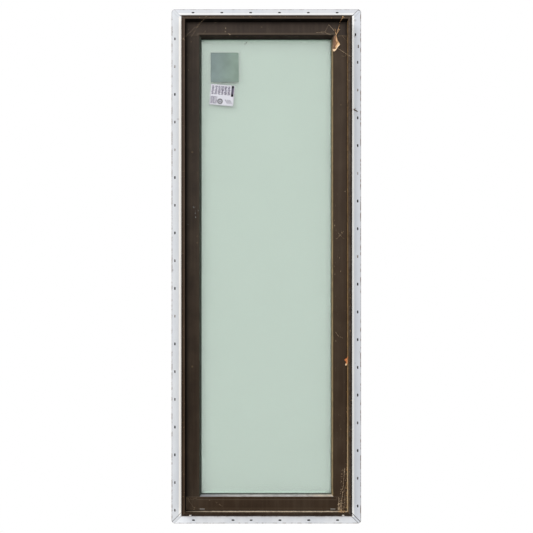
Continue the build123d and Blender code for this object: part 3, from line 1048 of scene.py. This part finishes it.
class Piece:
    """One added object: a shape in the making, which ends as an object that rides on the window."""

    def __init__(self, name: str, slot: str) -> None:
        """Starts an empty shape and keeps the name of its slot."""
        self.name = name
        self.slot = slot
        self.shape = bmesh.new()

    def thread(self, points: list[Vector], radius: float, sides: int = 5) -> None:
        """Adds a thin tube along a smooth line through some points.

        Args:
            points: Where it passes.
            radius: Half its thickness.
            sides: Sides of its section.
        """
        line = smooth_line(points)
        before = None
        for index, point in enumerate(line):
            ahead = line[min(index + 1, len(line) - 1)] - line[max(index - 1, 0)]
            turn = ahead.to_track_quat("Z", "Y").to_matrix().to_4x4()
            ring = bmesh.ops.create_circle(self.shape, cap_ends=index in (0, len(line) - 1), segments=sides,
                                           radius=radius, matrix=Matrix.Translation(point) @ turn)
            loop = list({edge for vert in ring["verts"] for edge in vert.link_edges})
            if before:
                bmesh.ops.bridge_loops(self.shape, edges=before + loop)
            before = loop

    def crumb(self, at: Vector, size: Triple, dice: random.Random) -> None:
        """Adds a rough lump.

        Args:
            at: Its middle.
            size: Its half sizes along x, y and z.
            dice: Draws its roughness.
        """
        made = bmesh.ops.create_icosphere(self.shape, subdivisions=1, radius=1.0)
        for vert in made["verts"]:
            vert.co *= dice.uniform(0.65, 1.15)
        matrix = Matrix.Translation(at) @ Matrix.Diagonal((*size, 1.0))
        bmesh.ops.transform(self.shape, matrix=matrix, verts=made["verts"])

    def finish(self, *materials: bpy.types.Material, stands_for: str | None = None) -> None:
        """Turns the shape into an object that rides on the window.

        Args:
            materials: Its finishes, in the order that its faces number them.
            stands_for: The node that it replaces, if any.
        """
        bmesh.ops.recalc_face_normals(self.shape, faces=self.shape.faces)
        mesh = bpy.data.meshes.new(self.name)
        self.shape.to_mesh(mesh)
        self.shape.free()
        for material in materials:
            mesh.materials.append(material)
        mesh.shade_smooth()
        made = bpy.data.objects.new(self.name, mesh)
        bpy.context.scene.collection.objects.link(made)
        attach(made, BODY)
        if stands_for:
            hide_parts(stands_for)
        LOG.info("%s: %d faces", self.name, len(mesh.polygons))


class SlotTone(Enum):
    """How dark a slot's fill is."""

    BLACK = "B"
    GREY = "G"
    PALE = "P"


SLOT_TONES = {
    SlotTone.BLACK: (tint(4, 4, 5), tint(18, 17, 17)),
    SlotTone.GREY: (tint(30, 28, 30), tint(70, 62, 58)),
    SlotTone.PALE: (tint(134, 122, 110), tint(182, 178, 176)),
}


@dataclass
class SlotShadePlugs:
    """Plugs in the fin's nail slots that stand for what shows through them, mostly the shade behind the fin:
    painted shade, darker in some than in others; the black ones reach a little over the slot's edge.
    """

    length: float = 10.0 * MM
    width: float = 4.5 * MM
    depth: float = 1.2 * MM
    front: float = -1.7 * MM
    reach_over: float = 0.5 * MM
    reach_over_front: float = -2.1 * MM
    per_mount: int = 9
    stray_sill: int = 1
    stray_shift: float = 38.2 * MM
    stray_set_in: float = 8.0 * MM
    head: str = "GGGGGG"
    sill: str = "BBGBBB"
    left: str = "GGBBGGBPBGBGBPGBPG"
    right: str = "BGBGBBBBBPBBPBBPGB"

    def build(self) -> None:
        """Builds the plugs, one piece for each tone."""
        for slot_tone, colours in SLOT_TONES.items():
            piece = Piece(f"slot_shade_{slot_tone.name.lower()}", "white_fin")
            for place, upright, kind in self._places():
                if kind is slot_tone:
                    self._plug(piece, place, upright, slot_tone is SlotTone.BLACK)
            piece.finish(CloudyFinish(piece.name, *colours).material())

    def _places(self) -> list[tuple[Vector, bool, SlotTone]]:
        """Every slot's middle, whether it stands upright, and its tone."""
        mounts = {mount["name"]: mount for mount in frame["record"]["mounts"]}
        places = []
        for name, slot_tones in (("head_slots", self.head), ("sill_slots", self.sill)):
            middle = Vector(mounts[name]["pos_m"])
            pitch = mounts[name]["dims"]["spacing_x_mm"] * MM / (len(slot_tones) - 1)
            for index, letter in enumerate(slot_tones):
                x = middle.x + (index - (len(slot_tones) - 1) / 2) * pitch
                if name == "sill_slots" and index == self.stray_sill:
                    x += self.stray_shift
                places.append((Vector((x, self.front, middle.z)), False, SlotTone(letter)))
        for name, slot_tones in (("left_lower_slots", self.left), ("right_lower_slots", self.right)):
            middle = Vector(mounts[name]["pos_m"])
            pitch = mounts[name]["dims"]["spacing_y_mm"] * MM / (self.per_mount - 1)
            for index, letter in enumerate(slot_tones):
                z = middle.z + (index - (self.per_mount - 1) / 2) * pitch
                stray = name.startswith("right") and index == len(slot_tones) - 1
                x = middle.x - self.stray_set_in if stray else middle.x
                places.append((Vector((x, self.front, z)), True, SlotTone(letter)))
        return places

    def _plug(self, piece: Piece, place: Vector, upright: bool, reaches_over: bool) -> None:
        """Adds one plug with round ends.

        Args:
            piece: The shape it joins.
            place: Its middle, at its front face.
            upright: Whether its length stands upright.
            reaches_over: Whether it reaches over the slot's edge.
        """
        width = self.width + self.reach_over if reaches_over else self.width
        if reaches_over:
            place = Vector((place.x, self.reach_over_front, place.z))
        half_step = Matrix.Rotation(math.pi / 16, 4, "Z")
        made = bmesh.ops.create_circle(piece.shape, cap_ends=True, segments=16, radius=width / 2,
                                       matrix=half_step)
        straight = (self.length - self.width) / 2
        for vert in made["verts"]:
            vert.co.x += math.copysign(straight, vert.co.x)
        turn = Matrix.Rotation(math.pi / 2, 4, "X")
        if upright:
            turn = turn @ Matrix.Rotation(math.pi / 2, 4, "Z")
        bmesh.ops.transform(piece.shape, matrix=Matrix.Translation(place) @ turn, verts=made["verts"])
        face = made["verts"][0].link_faces[0]
        back = bmesh.ops.extrude_face_region(piece.shape, geom=[face])
        moved = [item for item in back["geom"] if isinstance(item, bmesh.types.BMVert)]
        bmesh.ops.translate(piece.shape, verts=moved, vec=(0.0, self.depth, 0.0))


@dataclass(frozen=True)
class Thread:
    """A cobweb thread: half its thickness in millimetres, and pixels it passes. A pixel has a depth of its
    own where it leaves the web's."""

    radius: float
    stops: tuple[tuple[float, ...], ...]


@dataclass(frozen=True)
class Scatter:
    """Grains strewn over a patch of the photograph, on the face at one depth; sizes in millimetres."""

    count: int
    across: tuple[float, float]
    down: tuple[float, float]
    depth: float
    size: tuple[float, float] = (0.4, 1.1)


@dataclass
class Web:
    """Cobweb threads and dust of one spot, each drawn from where the photograph shows it. A speck is a
    pixel, its half sizes in millimetres, and its depth where that isn't the web's."""

    name: str
    threads: tuple[Thread, ...] = ()
    specks: tuple[tuple[float, ...], ...] = ()
    scatters: tuple[Scatter, ...] = ()
    slot: str = "bronze_sash"
    depth: float = ON_SASH
    dark: Colour = tint(146, 124, 98)
    light: Colour = tint(198, 176, 148)
    flat: float = 0.6 * MM
    seed: int = 7

    def build(self) -> None:
        """Builds the threads, then the specks, then the strewn grains."""
        dice = random.Random(self.seed)
        web = Piece(self.name, self.slot)
        for thread in self.threads:
            web.thread([self._at(*stop) for stop in thread.stops], thread.radius * MM)
        for px, py, half_width, half_height, *depth in self.specks:
            web.crumb(self._at(px, py, *depth), (half_width * MM, self.flat, half_height * MM), dice)
        for patch in self.scatters:
            for _ in range(patch.count):
                at = PHOTO.spot(dice.uniform(*patch.across), dice.uniform(*patch.down), patch.depth)
                size = dice.uniform(*patch.size) * MM
                web.crumb(at, (size, self.flat, size * dice.uniform(0.7, 1.4)), dice)
        web.finish(CloudyFinish(self.name, self.dark, self.light).material())

    def _at(self, px: float, py: float, depth: float | None = None) -> Vector:
        """The point that a pixel shows at a depth, or at the web's own."""
        return PHOTO.spot(px, py, self.depth if depth is None else depth)


GOLD_DUST = {"dark": tint(150, 110, 62), "light": tint(226, 190, 138)}
WEBS = (
    Web("cobweb_top_left", threads=(
        Thread(0.24, ((183.4, 38.2, ON_LIP), (188.6, 33.4, MIDWAY), (192.4, 30.0), (194.7, 27.4))),
        Thread(0.15, ((194.7, 27.4), (197.2, 24.9), (199.9, 22.2, MIDWAY))),
        Thread(0.22, ((191.2, 36.8), (194.2, 32.0), (196.9, 27.4), (200.6, 22.8, MIDWAY),
                      (205.2, 17.8, ON_LIP), (206.6, 15.8, ON_LIP))),
        Thread(0.18, ((203.5, 33.6), (205.8, 30.6))),
        Thread(0.11, ((211.8, 26.0), (216.0, 22.2)))),
        specks=((196.9, 27.4, 1.8, 2.2), (225.6, 28.2, 1.5, 1.8), (225.3, 31.6, 1.3, 2.2),
                (229.8, 34.5, 2.4, 2.0), (228.5, 33.4, 1.4, 0.9), (188.5, 69.9, 1.0, 1.0),
                (191.3, 41.8, 0.8, 1.2), (188.6, 29.6, 0.8, 1.0), (183.4, 38.4, 2.0, 2.4, ON_LIP),
                (183.9, 39.7, 2.0, 1.0, ON_LIP), (182.9, 39.2, 1.4, 1.6, ON_LIP))),
    Web("cobweb_top_right", threads=(
        Thread(0.44, ((328.8, 24.8), (331.5, 27.6), (334.6, 31.4))),
        Thread(0.3, ((328.8, 24.8), (327.0, 28.0), (325.2, 32.0))),
        Thread(0.3, ((325.2, 32.0), (327.4, 33.6), (330.5, 34.6))),
        Thread(0.24, ((316.0, 32.6), (321.0, 32.4), (325.2, 32.0))),
        Thread(0.3, ((337.6, 48.4), (341.0, 50.5))),
        Thread(0.5, ((341.0, 50.5), (344.0, 52.4, MIDWAY), (348.4, 55.4, ON_LIP), (351.2, 56.4, ON_LIP))),
        Thread(0.14, ((341.2, 55.7), (344.5, 56.3), (346.6, 55.4))),
        Thread(0.16, ((338.0, 36.3), (342.0, 35.9), (346.4, 36.4))),
        Thread(0.14, ((342.2, 36.4), (344.6, 38.6), (346.6, 41.0)))),
        scatters=(Scatter(14, (320.0, 326.0), (31.0, 33.4), ON_SASH, (0.3, 0.7)),)),
    Web("cobweb_sill_corner", threads=(
        Thread(0.42, ((344.5, 468.0), (344.2, 475.0), (343.5, 481.5), (343.3, 486.5),
                      (342.2, 489.4), (341.0, 490.4))),
        Thread(0.3, ((345.8, 486.6), (344.0, 490.0), (342.8, 492.2))),
        Thread(0.42, ((342.8, 492.2), (342.2, 496.5), (341.4, 502.0), (341.8, 508.0))),
        Thread(0.22, ((344.6, 493.0), (344.7, 498.0), (344.5, 503.5))),
        Thread(0.3, ((338.4, 497.6), (338.3, 503.0), (338.5, 509.5)))),
        specks=((342.0, 470.5, 1.5, 1.9), (341.8, 474.0, 2.0, 2.0), (342.0, 476.6, 2.4, 1.2),
                (341.6, 481.6, 1.5, 1.4), (344.5, 471.5, 1.2, 2.4), (345.5, 480.3, 1.2, 1.2),
                (340.9, 489.2, 1.8, 1.3), (340.8, 491.4, 2.0, 0.9), (340.6, 493.4, 1.4, 2.0),
                (342.8, 492.2, 2.0, 2.4), (339.1, 503.8, 2.4, 2.8), (343.9, 506.3, 1.8, 1.8),
                (338.6, 497.8, 2.0, 1.0)),
        scatters=(Scatter(80, (338.4, 345.0), (498.0, 509.6), ON_SASH, (0.5, 1.3)),
                  Scatter(60, (338.0, 341.8), (503.0, 510.0), ON_SASH, (0.7, 1.5)),
                  Scatter(34, (338.0, 342.0), (508.4, 510.2), ON_SASH, (0.8, 1.7)),
                  Scatter(24, (340.8, 345.2), (468.0, 497.0), ON_SASH, (0.4, 0.9)))),
    Web("cobweb_bottom_left", threads=(
        Thread(0.12, ((186.6, 497.4), (190.4, 502.8), (195.0, 509.6))),
        Thread(0.1, ((187.2, 498.6), (191.2, 499.4), (196.4, 498.2))),
        Thread(0.12, ((215.4, 502.0), (219.0, 504.2), (222.6, 506.4)))),
        specks=((190.6, 499.1, 1.2, 1.0), (194.4, 507.9, 1.2, 1.2), (194.0, 509.2, 1.4, 1.0),
                (209.4, 500.2, 1.3, 0.9))),
    Web("stile_specks", threads=(
        Thread(0.25, ((336.0, 239.0), (339.5, 236.0), (343.5, 231.5))),
        Thread(0.25, ((338.0, 232.5), (340.5, 235.5), (344.5, 239.0))),
        Thread(0.25, ((335.2, 331.8), (338.4, 335.6), (342.8, 338.4)))),
        specks=((339.0, 236.0, 1.5, 1.7), (341.6, 232.3, 1.5, 1.7), (334.3, 220.5, 1.2, 1.4),
                (334.7, 225.5, 1.5, 1.7), (335.7, 341.0, 1.2, 1.4), (339.6, 257.8, 1.5, 1.7),
                (340.6, 271.2, 1.4, 1.5), (334.9, 274.2, 1.5, 1.7), (334.4, 266.4, 1.2, 1.4),
                (345.2, 191.5, 1.2, 1.4)),
        scatters=(Scatter(40, (334.6, 345.6), (190.0, 460.0), ON_SASH, (0.3, 0.7)),)),
    Web("left_stile_marks", specks=(
        (193.9, 207.5, 1.6, 1.4), (193.2, 206.6, 1.0, 0.8), (195.0, 207.0, 0.8, 1.0),
        (195.2, 211.0, 1.0, 1.2), (195.3, 213.2, 1.8, 1.6), (195.6, 217.2, 1.4, 1.6),
        (198.3, 210.5, 0.8, 2.4), (188.0, 224.6, 1.0, 1.0)),
        dark=tint(96, 98, 98), light=tint(176, 182, 184)),
    Web("lip_dust", slot="bronze_frame", depth=ON_LIP, scatters=(
        Scatter(26, (186.0, 348.0), (16.0, 17.6), ON_LIP, (0.4, 0.9)),
        Scatter(60, (182.8, 184.6), (30.0, 500.0), ON_LIP, (0.3, 0.7)),
        Scatter(60, (349.5, 351.2), (40.0, 505.0), ON_LIP, (0.4, 0.9)),
        Scatter(30, (346.2, 347.2), (390.0, 509.0), ON_SASH, (0.5, 1.0)),
        Scatter(60, (345.9, 347.2), (462.0, 509.0), ON_SASH, (0.6, 1.2)),
        Scatter(44, (347.4, 347.6), (60.0, 508.0), ON_LIP_SIDE, (0.8, 1.7)),
        Scatter(6, (347.4, 347.6), (332.0, 343.0), ON_LIP_SIDE, (1.0, 1.8))),
        specks=((331.4, 18.2, 2.6, 1.0), (342.6, 16.6, 1.6, 2.4), (344.2, 17.8, 2.0, 1.0)),
        **GOLD_DUST),
    Web("fin_marks", slot="white_fin", depth=ON_FIN, threads=(
        Thread(1.5, ((353.6, 109.2), (355.4, 110.2), (357.6, 111.6))),
        Thread(1.3, ((355.2, 108.0), (354.9, 109.6), (354.4, 110.8)))),
        specks=((358.4, 45.5, 2.8, 3.8), (358.3, 47.1, 2.4, 3.4), (172.6, 32.0, 0.9, 2.0),
                (355.2, 363.0, 0.8, 1.4), (358.9, 10.3, 2.2, 1.4),
                (172.9, 270.0, 1.0, 2.6), (359.4, 352.0, 0.7, 2.2)),
        dark=tint(58, 44, 34), light=tint(122, 98, 78)),
    Web("glass_specks", depth=ON_GLASS, specks=(
        (246.5, 42.7, 3.6, 2.0), (245.0, 44.0, 1.8, 2.2), (301.0, 42.5, 1.8, 1.2)),
        dark=tint(28, 32, 16), light=tint(70, 74, 46), flat=0.4 * MM),
    # Dark lumps at the left end of the sill's bead.
    Web("bead_end_dark_lumps", slot="bronze_bead", depth=ON_BEAD, specks=(
        (201.6, 495.4, 2.6, 1.8), (202.2, 496.2, 2.8, 1.6, ON_BEAD - 4 * MM),
        (203.4, 495.8, 1.6, 1.2, ON_BEAD - 2 * MM)),
        dark=tint(22, 17, 12), light=tint(70, 58, 44)),
)


def between(stops: tuple[Pixel, ...], at: float) -> float:
    """Reads a value off straight lines between stops.

    Args:
        stops: Places from 0 to 1 in order, each with its value.
        at: The place to read.

    Returns:
        The value there.
    """
    for (start, low), (end, high) in zip(stops, stops[1:]):
        if at <= end:
            return low + (high - low) * (at - start) / (end - start)
    return stops[-1][1]


@dataclass
class DryLeaf:
    """A curled dry leaf, laid out between pixels of the photograph."""

    name: str
    stem: Pixel
    tip: Pixel
    left: tuple[Pixel, ...]
    right: tuple[Pixel, ...]
    right_tones: tuple[Colour, Colour]
    left_tones: tuple[Colour, Colour]
    edge_tones: tuple[Colour, Colour]
    fold: float = 0.15
    curl: float = 0.84
    edge_from: Pixel = (0.55, 0.6)
    mesh: tuple[int, int] = (12, 20)
    string_radius: float = 0.8 * MM
    knot: Triple = (2.0 * MM, 1.4 * MM, 2.6 * MM)
    arch: float = 7.0 * MM
    clear: float = 1.2 * MM
    crumple: float = 3.0 * MM
    thickness: float = 0.35 * MM
    strings: tuple[tuple[Triple, ...], ...] = ()
    knots: tuple[Triple, ...] = ()
    seed: int = 3

    def build(self) -> None:
        """Builds the blade, with a right half, a darker left half and a pale curled edge, and its strings;
        the left half's darkness is its own colour and painted shade of the fold.
        """
        leaf = Piece(self.name, "bronze_sash")
        columns, rows = self.mesh
        blade = bmesh.ops.create_grid(leaf.shape, x_segments=columns, y_segments=rows, size=1.0)["verts"]
        for face in leaf.shape.faces:
            middle = face.calc_center_median()
            along = (1.0 - middle.y) / 2
            curled = along > self.curl or (along > self.edge_from[0] and middle.x > self.edge_from[1])
            # The left half takes the darker tones: its own colour and painted shade, as it turns away from
            # the light.
            face.material_index = 2 if curled else int(middle.x < self.fold)
        for vert in blade:
            vert.co = self._place(vert.co.x, (1.0 - vert.co.y) / 2)
        bmesh.ops.solidify(leaf.shape, geom=list(leaf.shape.faces), thickness=self.thickness)
        for string in self.strings:
            stops = [PHOTO.spot(px, py, SIZES.sash_y + out * MM) for px, py, out in string]
            leaf.thread(stops, self.string_radius)
        dice = random.Random(self.seed)
        for px, py, out in self.knots:
            leaf.crumb(PHOTO.spot(px, py, SIZES.sash_y + out * MM), self.knot, dice)
        leaf.finish(CloudyFinish(f"{self.name}_right", *self.right_tones, scale=70.0).material(),
                    CloudyFinish(f"{self.name}_left", *self.left_tones, scale=60.0).material(),
                    CloudyFinish(f"{self.name}_edge", *self.edge_tones, scale=90.0).material())

    def _place(self, across: float, along: float) -> Vector:
        """Where a point of the flat blade lies.

        Args:
            across: From -1 at the left edge to 1 at the right one.
            along: From 0 at the stem to 1 at the tip.

        Returns:
            The point in the window's frame.
        """
        reach = between(self.right if across > 0 else self.left, along)
        px = self.stem[0] + (self.tip[0] - self.stem[0]) * along + across * reach
        py = self.stem[1] + (self.tip[1] - self.stem[1]) * along
        rise = self.arch * math.sin(math.pi * (0.08 + 0.84 * along)) * abs(across - self.fold) ** 0.7
        wave = noise.noise(Vector((across * 1.7, along * 4.0, 0.3))) * self.crumple
        return PHOTO.spot(px, py, min(SIZES.sash_y - self.clear - rise + wave, SIZES.sash_y - self.clear / 2))


LEAVES = (
    DryLeaf("dry_leaf", (336.0, 35.2), (334.0, 51.2),
            left=((0.0, 0.3), (0.06, 2.0), (0.5, 1.9), (0.85, 1.7), (1.0, 0.9)),
            right=((0.0, 0.3), (0.3, 2.2), (0.58, 5.4), (0.66, 4.2), (0.8, 2.8), (0.94, 1.6), (1.0, 0.5)),
            right_tones=(tint(122, 86, 58), tint(226, 184, 138)),
            left_tones=(tint(84, 60, 44), tint(154, 122, 100)),
            edge_tones=(tint(226, 188, 146), tint(252, 228, 196)),
            strings=(((343.6, 16.6, -23.0), (341.4, 19.6, -20.0), (339.5, 22.8, -3.0)),
                     ((339.4, 24.8, -2.0), (338.2, 29.0, -3.0), (336.3, 35.2, -3.0)),
                     ((335.0, 29.0, -1.5), (335.5, 32.0, -2.5), (336.3, 35.2, -3.0)),
                     ((339.8, 29.2, -1.5), (338.2, 31.4, -2.5), (336.3, 34.6, -3.0))),
            knots=((341.0, 20.2, -14.0), (339.0, 26.4, -3.0), (338.6, 29.4, -3.5), (337.6, 31.0, -3.5),
                   (335.3, 30.6, -3.0), (335.8, 33.0, -3.5))),
    DryLeaf("leaf_scrap", (347.4, 357.2), (346.2, 365.4),
            left=((0.0, 0.2), (0.1, 0.7), (0.22, 2.2), (0.34, 2.6), (0.48, 1.0), (0.6, 0.4), (0.8, 1.0),
                  (1.0, 0.9)),
            right=((0.0, 0.3), (0.1, 0.5), (0.3, 0.3), (0.5, 1.0), (0.7, 0.8), (1.0, 0.4)),
            right_tones=(tint(204, 112, 56), tint(240, 176, 120)),
            left_tones=(tint(196, 100, 48), tint(238, 168, 112)),
            edge_tones=(tint(236, 190, 140), tint(252, 226, 188)), curl=0.74, arch=4.0 * MM,
            strings=(((348.0, 356.4, -20.0), (347.4, 358.2, -13.0), (346.6, 360.4, -5.0)),)),
)


@dataclass
class PaperLabel:
    """The paper label, its corners lifting from the glass."""

    width: float = 86.0 * MM
    height: float = 74.0 * MM
    tilt: float = math.radians(5.0)
    thickness: float = 0.2 * MM
    lift: float = 1.4 * MM

    def build(self) -> None:
        """Builds the sheet in the place of its node."""
        low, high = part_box("paper_label")
        centre = (low + high) / 2
        centre.y = high.y
        label = Piece("label_sheet", "label_paper")
        sheet = bmesh.ops.create_grid(label.shape, x_segments=18, y_segments=16, size=1.0)["verts"]
        for vert in sheet:
            across, up = vert.co.x, vert.co.y
            corner = max(0.0, across * up) ** 3 + 0.35 * max(0.0, -across * up) ** 4
            ripple = 0.25 * MM * (1.0 + math.sin(5.0 * across + 2.0 * up))
            vert.co = Vector((across * self.width / 2, -self.lift * corner - ripple - self.thickness,
                              up * self.height / 2))
        bmesh.ops.transform(label.shape, verts=sheet,
                            matrix=Matrix.Translation(centre) @ Matrix.Rotation(self.tilt, 4, "Y"))
        bmesh.ops.solidify(label.shape, geom=list(label.shape.faces), thickness=self.thickness)
        label.finish(LabelPrint("label_print", tuple(centre), self.tilt).material(), stands_for="paper_label")


@dataclass
class LedgeDirt:
    """Crumbs on the ledges of the sill, and dirt in the flange's weep notches."""

    seed: int = 21
    lip_count: int = 70
    lip_x: Triple = (-0.27, 0.285, 0.285)
    bead_count: int = 50
    bead_depth: float = 19.0 * MM
    bead_rise: tuple[float, float] = (0.8 * MM, 6.2 * MM)
    end_gap: float = 10.0 * MM
    gold_count: int = 90
    corner_x: Triple = (250.0 * MM, 286.0 * MM, 262.0 * MM)
    plug_count: int = 7
    plug: Triple = (2.2 * MM, 1.6 * MM, 2.4 * MM)
    notch_px: tuple[Pixel, ...] = ((190.0, 514.9), (343.3, 514.9))

    def build(self) -> None:
        """Builds the crumbs, the gold dust in the corner and the plugs."""
        dice = random.Random(self.seed)
        lip_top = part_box("bottom_sash_seal")[0].z
        self._crumbs(dice, lip_top)
        gold = Piece("corner_gold", "bronze_frame")
        for _ in range(self.gold_count):
            size = dice.uniform(0.5, 1.5) * MM
            x = dice.triangular(*self.corner_x)
            at = Vector((x, dice.uniform(SIZES.lip_y + 2 * MM, SIZES.sash_y), lip_top))
            gold.crumb(at, (size, size, size * 0.8), dice)
        gold.finish(CloudyFinish("corner_gold", **GOLD_DUST).material())
        plugs = Piece("weep_notch_dirt", "bronze_flange")
        for px, py in self.notch_px:
            middle = PHOTO.spot(px, py, SIZES.flange_y + 1.0 * MM)
            for _ in range(self.plug_count):
                off = Vector((dice.uniform(-1.6, 1.6), dice.uniform(-0.6, 1.2), dice.uniform(-2.2, 2.2)))
                plugs.crumb(middle + off * MM, self.plug, dice)
        plugs.finish(CloudyFinish("weep_notch_dirt", tint(206, 184, 152), tint(240, 230, 212)).material())

    def _crumbs(self, dice: random.Random, lip_top: float) -> None:
        """Strews crumbs behind the sill's lip and on its bead.

        Args:
            dice: Draws places and sizes.
            lip_top: Height of the ledge behind the lip.
        """
        crumbs = Piece("ledge_crumbs", "bronze_frame")
        bead_low, bead_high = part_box("bottom_glazing_bead")
        for _ in range(self.lip_count):
            size = dice.uniform(0.4, 1.2) * MM
            x = dice.triangular(*self.lip_x)
            y = dice.uniform(SIZES.lip_y + 3 * MM, SIZES.sash_y - 2 * MM)
            crumbs.crumb(Vector((x, y, lip_top)), (size, size, size * 0.7), dice)
        for _ in range(self.bead_count):
            size = dice.uniform(0.4, 1.0) * MM
            share = dice.random()
            x = dice.uniform(bead_low.x + self.end_gap, bead_high.x - self.end_gap)
            rise = self.bead_rise[0] + share * self.bead_rise[1]
            at = Vector((x, bead_low.y + share * self.bead_depth, SIZES.sash_inner + rise))
            crumbs.crumb(at, (size, size, size * 0.7), dice)
        crumbs.finish(CloudyFinish("ledge_crumbs", tint(112, 92, 68), tint(206, 186, 156)).material())


def main() -> None:
    """Builds the stage, dresses the window and adds what lies on it."""
    logging.basicConfig(level=logging.INFO, format="%(name)s: %(message)s")
    PHOTO.place()
    Studio().build()
    Dresser().dress()
    SlotShadePlugs().build()
    for web in WEBS:
        web.build()
    for leaf in LEAVES:
        leaf.build()
    PaperLabel().build()
    LedgeDirt().build()


if __name__ == "__main__":
    main()
